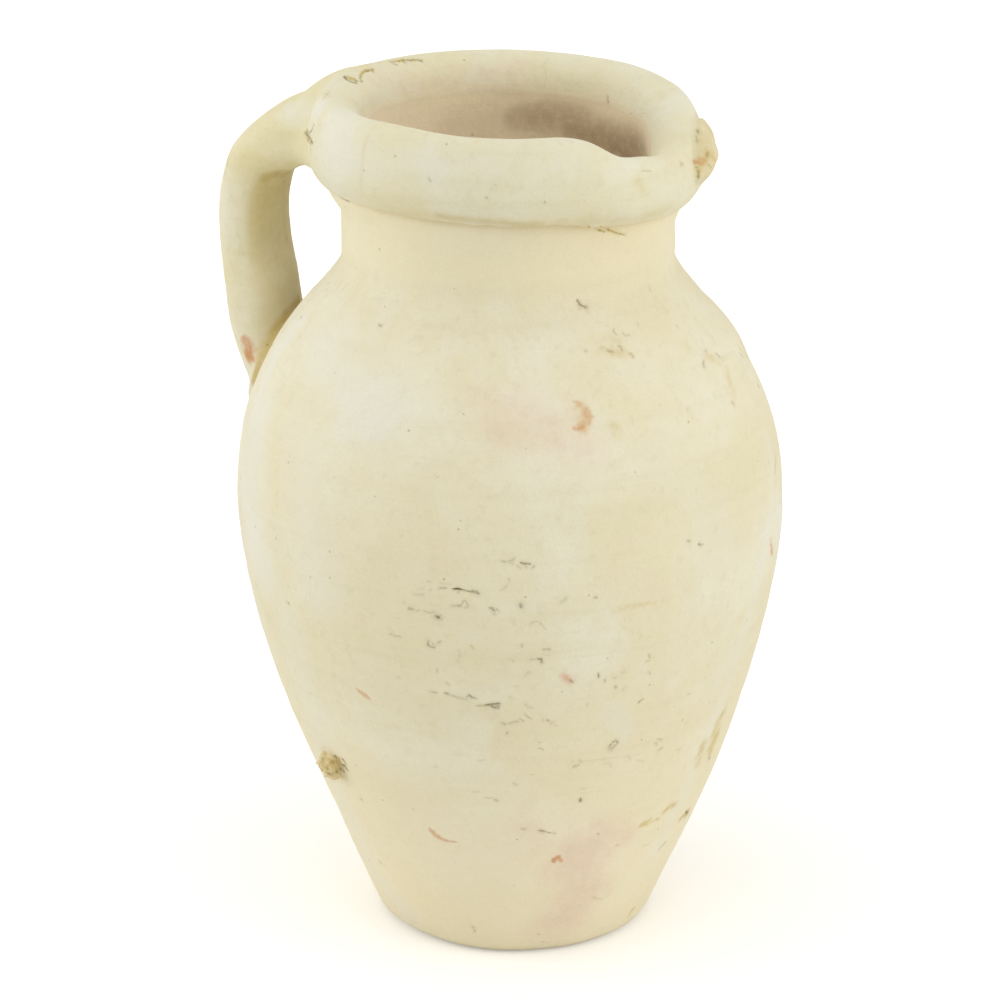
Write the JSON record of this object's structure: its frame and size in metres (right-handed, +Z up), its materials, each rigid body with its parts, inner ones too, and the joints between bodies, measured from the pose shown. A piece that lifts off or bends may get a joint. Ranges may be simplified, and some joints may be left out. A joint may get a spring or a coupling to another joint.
{
  "type": "ceramic jug",
  "caption": "Unglazed clay jug with an egg-shaped body, a short neck under a thick collared rim with a pouring dip, and a strap handle.",
  "frame": {"origin": "centre of the flat foot that the jug stands on", "axes": "+Z up the jug's axis, -X towards the handle, +X towards the dip in the rim"},
  "size_m": [0.1639, 0.1532, 0.2422],
  "materials": {
    "body_clay": "matte unglazed cream earthenware with chaff marks",
    "rim_clay": "matte unglazed pale cream earthenware",
    "handle_clay": "matte unglazed cream earthenware, hand smoothed",
    "torn_clay": "rough torn ochre clay"
  },
  "bodies": {
    "root": {"lower_wall": "body_clay", "upper_wall": "body_clay", "neck": "body_clay", "rim_collar": "rim_clay", "handle": "handle_clay", "handle_rim_pad": "handle_clay", "handle_shoulder_pad": "handle_clay", "rim_stub": "torn_clay", "shoulder_stub": "body_clay", "wall_crumb": "torn_clay"}
  },
  "joints": []
}
